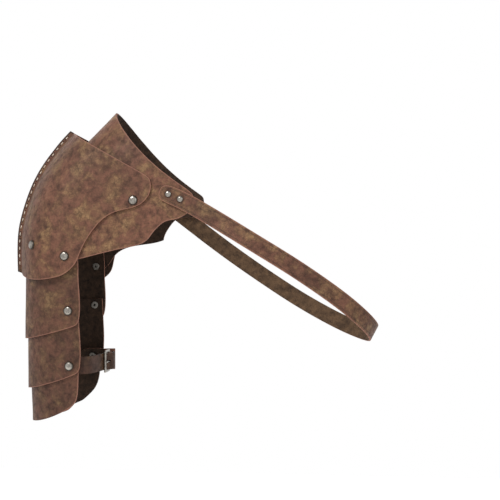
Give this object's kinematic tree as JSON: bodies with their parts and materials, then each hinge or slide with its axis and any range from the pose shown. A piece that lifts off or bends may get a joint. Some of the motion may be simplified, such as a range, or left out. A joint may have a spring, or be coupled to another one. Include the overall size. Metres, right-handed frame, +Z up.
{
  "type": "pauldron",
  "caption": "Leather shoulder guard with a stitched cap, a yoke, overlapping arm plates, a long chest strap and a buckled arm strap.",
  "frame": {"origin": "underside of the yoke's crest, where the guard sits on top of the shoulder", "axes": "+Z up, +X towards the wearer's neck, -Y towards the wearer's front; worn on the right shoulder"},
  "size_m": [0.4699, 0.1994, 0.3981],
  "materials": {
    "leather": "distressed, waxed, matt",
    "rivet_steel": "aged, satin",
    "buckle_steel": "satin"
  },
  "bodies": {
    "root": {"cap_front": "leather", "cap_back": "leather", "yoke": "leather", "upper_lame": "leather", "middle_lame": "leather", "lower_lame": "leather", "chest_strap": "leather", "arm_strap_billet": "leather", "arm_strap_fold": "leather", "strap_keeper": "leather", "rivet_cap_tip_front": "rivet_steel", "rivet_cap_hem_front": "rivet_steel", "rivet_cap_side_front": "rivet_steel", "rivet_upper_lame_front": "rivet_steel", "rivet_lower_lame_front": "rivet_steel", "rivet_cap_tip_back": "rivet_steel", "rivet_cap_hem_back": "rivet_steel", "rivet_cap_side_back": "rivet_steel", "rivet_upper_lame_back": "rivet_steel", "rivet_lower_lame_back": "rivet_steel", "rivet_chest_strap_front_1": "rivet_steel", "rivet_chest_strap_front_2": "rivet_steel", "rivet_chest_strap_back_1": "rivet_steel", "rivet_chest_strap_back_2": "rivet_steel", "buckle_frame": "buckle_steel", "buckle_prong": "buckle_steel"}
  },
  "joints": []
}
